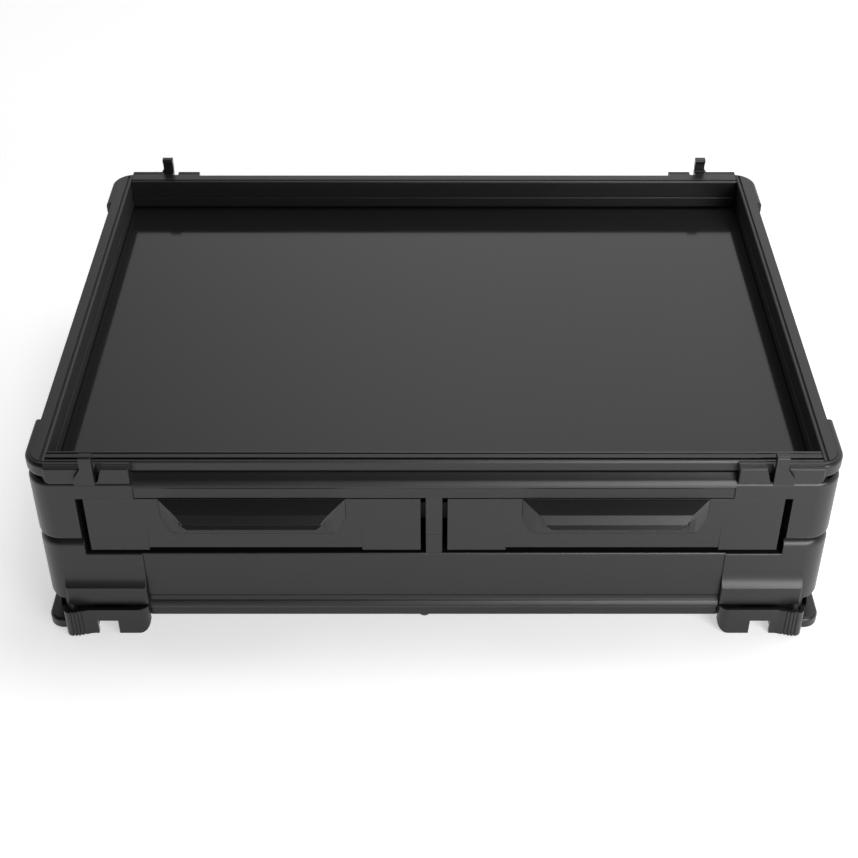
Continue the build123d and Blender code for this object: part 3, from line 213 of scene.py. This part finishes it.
def grained_normal(node_tree, coordinates, finish):
    """Normals with softened edges and a fine grain."""
    grain_inputs = {"Scale": 1.0 / finish.grain_size, "Detail": GRAIN_DETAIL}
    grain = add_node(node_tree, "ShaderNodeTexNoise", grain_inputs)
    edge = add_node(node_tree, "ShaderNodeBevel", {"Radius": finish.edge_radius}, samples=BEVEL_SAMPLES)
    bump = add_node(node_tree, "ShaderNodeBump", {"Distance": finish.grain_height})
    node_tree.links.new(coordinates.outputs["Object"], grain.inputs["Vector"])
    node_tree.links.new(grain.outputs["Fac"], bump.inputs["Height"])
    node_tree.links.new(edge.outputs["Normal"], bump.inputs["Normal"])
    return bump.outputs["Normal"]


def black_finish(name, finish):
    """A material with one of the near-black finishes."""
    material = bpy.data.materials.new(name)
    material.use_nodes = True
    node_tree = material.node_tree
    shader = node_tree.nodes["Principled BSDF"]
    shader.inputs["Base Color"].default_value = (finish.tone, finish.tone, finish.tone * BLUE_CAST, 1.0)
    shader.inputs["IOR"].default_value = GLOSS_INDEX
    if name in METAL_SLOTS:
        shader.inputs["Metallic"].default_value = 1.0
    coordinates = add_node(node_tree, "ShaderNodeTexCoord")
    roughness = patchy_roughness(node_tree, coordinates, finish.roughness)
    if name in ROUGH_INSIDE:
        extra = inside_roughness(node_tree, coordinates, ROUGH_INSIDE[name])
        roughness = combine(node_tree, "ADD", roughness, extra)
    node_tree.links.new(roughness, shader.inputs["Roughness"])
    node_tree.links.new(grained_normal(node_tree, coordinates, finish), shader.inputs["Normal"])
    return material


def seen_or_mirrored(node_tree):
    """One for rays from the camera and for mirrored or transmitted ones, and nought for diffuse ones."""
    path = add_node(node_tree, "ShaderNodeLightPath")
    mirrored = combine(
        node_tree, "MAXIMUM", path.outputs["Is Glossy Ray"], path.outputs["Is Transmission Ray"]
    )
    return combine(node_tree, "MAXIMUM", path.outputs["Is Camera Ray"], mirrored)


def lay_floor():
    """Pale floor that keeps the unit's shadow and is white to the camera away from it."""
    bpy.ops.mesh.primitive_plane_add(size=2 * FLOOR_HALF, location=(0, 0, -FLOOR_DROP))
    floor = bpy.context.object
    floor.name = "floor"
    material = bpy.data.materials.new("floor")
    material.use_nodes = True
    node_tree = material.node_tree
    shader = node_tree.nodes["Principled BSDF"]
    shader.inputs["Base Color"].default_value = (FLOOR_TONE, FLOOR_TONE, FLOOR_TONE, 1.0)
    shader.inputs["Roughness"].default_value = FLOOR_ROUGHNESS
    shader.inputs["Specular IOR Level"].default_value = 0.0
    shader.inputs["Emission Color"].default_value = WHITE
    glow = map_range(node_tree, seen_or_mirrored(node_tree), UNIT_RANGE, (0.0, FLOOR_GLOW))
    node_tree.links.new(glow, shader.inputs["Emission Strength"])
    floor.data.materials.append(material)


def set_world():
    """A white backdrop behind the unit, dimmer to its left, and a dim room above and in front of it."""
    world = bpy.data.worlds.new("studio")
    bpy.context.scene.world = world
    world.use_nodes = True
    node_tree = world.node_tree
    background = node_tree.nodes["Background"]
    background.inputs["Color"].default_value = WHITE
    coordinates = add_node(node_tree, "ShaderNodeTexCoord")
    facing = add_node(node_tree, "ShaderNodeVectorMath", {1: BACKDROP_FACING}, operation="DOT_PRODUCT")
    across = add_node(node_tree, "ShaderNodeSeparateXYZ")
    node_tree.links.new(coordinates.outputs["Generated"], facing.inputs[0])
    node_tree.links.new(coordinates.outputs["Generated"], across.inputs["Vector"])
    smooth = {"interpolation_type": "SMOOTHSTEP"}
    behind = map_range(node_tree, facing.outputs["Value"], BACKDROP_FADE, BACKDROP_STRENGTH, **smooth)
    beside = map_range(node_tree, across.outputs["X"], SIDE_FADE, SIDE_SHARE, **smooth)
    strength = combine(node_tree, "MULTIPLY", behind, beside)
    node_tree.links.new(strength, background.inputs["Strength"])


def strip_outline(top, tuck, slopes):
    """Section of a strip in Y and Z: its slopes from top to bottom, each crowned, then its back."""
    outline = [Vector(top)]
    backs = []
    for slope in slopes:
        lean = math.radians(slope.lean)
        down = Vector((-math.sin(lean), -math.cos(lean)))
        out = Vector((down.y, -down.x))
        start = outline[-1]
        for step in range(1, EDGE_STEPS + 1):
            along = step / EDGE_STEPS
            crown = slope.crown * 4 * along * (1 - along)
            outline.append(start + down * slope.length * along + out * crown)
        backs.append(start - out * tuck)
        backs.append(outline[-1] - out * tuck)
    return outline + [backs[-1], backs[0]]


def add_strip(name, body, material, outline, rings):
    """A section in Y and Z swept along X; each ring has its place and its share of the section's size."""
    shape = bmesh.new()
    loops = []
    for x, share in rings:
        places = [outline[0] + (point - outline[0]) * share for point in outline]
        loops.append([shape.verts.new((x, y, z)) for y, z in places])
    for first, second in zip(loops, loops[1:]):
        for step in range(len(outline)):
            after = (step + 1) % len(outline)
            shape.faces.new((first[step], second[step], second[after], first[after]))
    shape.faces.new(loops[0])
    shape.faces.new(loops[-1])
    bmesh.ops.recalc_face_normals(shape, faces=shape.faces)
    for face in shape.faces:
        face.smooth = True
    for edge in shape.edges:
        edge.smooth = edge.calc_face_angle() < EDGE_SHARP
    mesh = bpy.data.meshes.new(name)
    shape.to_mesh(mesh)
    shape.free()
    mesh.materials.append(material)
    strip = bpy.data.objects.new(name, mesh)
    bpy.context.scene.collection.objects.link(strip)
    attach(strip, body)


def add_edge_strip(name, strip, material):
    """A sloping edge that runs along a front rail from one corner moulding to the other."""
    half_run = -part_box(strip.ends_at)[1].x
    outline = strip_outline(strip.top, strip.tuck, strip.slopes)
    add_strip(name, "cabinet", material, outline, ((-half_run, 1), (half_run, 1)))


def add_pull_lip(side, material):
    """The flared finger lip along the nose of a drawer's pull, thinner at its ends."""
    pull_low, pull_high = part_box(f"{side}_drawer_pull")
    nose = (pull_low.y, pull_high.z - PULL_NOSE_DROP)
    outline = strip_outline(nose, PULL_LIP_THICKNESS, PULL_LIP_SLOPES)
    middle = (pull_low.x + pull_high.x) / 2
    half_run = PULL_LIP_RUN / 2
    rings = (
        (middle - half_run, PULL_LIP_END_SHARE),
        (middle - half_run + PULL_LIP_TAPER, 1),
        (middle + half_run - PULL_LIP_TAPER, 1),
        (middle + half_run, PULL_LIP_END_SHARE),
    )
    add_strip(f"{side}_pull_lip", f"{side}_drawer", material, outline, rings)


def add_lamp(name, lamp):
    """A soft box."""
    data = bpy.data.lights.new(name, "AREA")
    data.shape = "RECTANGLE"
    data.size = lamp.width
    data.size_y = lamp.height
    data.energy = lamp.power
    holder = bpy.data.objects.new(name, data)
    holder.location = lamp.place
    direction = Vector(lamp.target) - Vector(lamp.place)
    holder.rotation_euler = direction.to_track_quat("-Z", "Y").to_euler()
    bpy.context.scene.collection.objects.link(holder)


def add_camera():
    """The photograph's viewpoint."""
    data = bpy.data.cameras.new("camera")
    data.sensor_width = SENSOR_WIDTH
    data.lens = FOCAL_PIXELS * SENSOR_WIDTH / PHOTO_SIZE
    data.shift_x = (PHOTO_SIZE / 2 - PRINCIPAL_X) / PHOTO_SIZE
    camera = bpy.data.objects.new("camera", data)
    camera.location = CAMERA_PLACE
    camera.rotation_euler = (math.radians(90 - CAMERA_PITCH), 0, 0)
    bpy.context.scene.collection.objects.link(camera)
    bpy.context.scene.camera = camera


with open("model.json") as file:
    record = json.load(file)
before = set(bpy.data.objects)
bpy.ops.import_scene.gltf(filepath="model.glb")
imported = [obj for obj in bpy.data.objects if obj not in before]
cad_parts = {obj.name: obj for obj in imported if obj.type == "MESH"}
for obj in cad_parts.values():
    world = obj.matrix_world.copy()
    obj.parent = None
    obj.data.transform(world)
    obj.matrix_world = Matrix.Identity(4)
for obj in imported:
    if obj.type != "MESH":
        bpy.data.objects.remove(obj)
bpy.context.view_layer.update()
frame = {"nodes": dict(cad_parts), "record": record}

materials = {slot: black_finish(slot, finish) for slot, finish in FINISHES.items()}
for subpart in frame["record"]["subparts"]:
    node = frame["nodes"][subpart["node"]]
    node.data.materials.clear()
    node.data.materials.append(materials[subpart["material_slot"]])

lay_floor()
set_world()
edge_materials = {}
for slot in EDGE_SLOTS:
    edge_materials[slot] = black_finish(f"{slot}_edge", FINISHES[slot]._replace(edge_radius=EDGE_ROUND))
for name, strip in EDGE_STRIPS.items():
    add_edge_strip(name, strip, edge_materials["rail"])
for side in ("left", "right"):
    add_pull_lip(side, edge_materials["drawer_face"])
for name, lamp in LAMPS.items():
    add_lamp(name, lamp)
add_camera()
bpy.context.scene.view_settings.view_transform = "Standard"
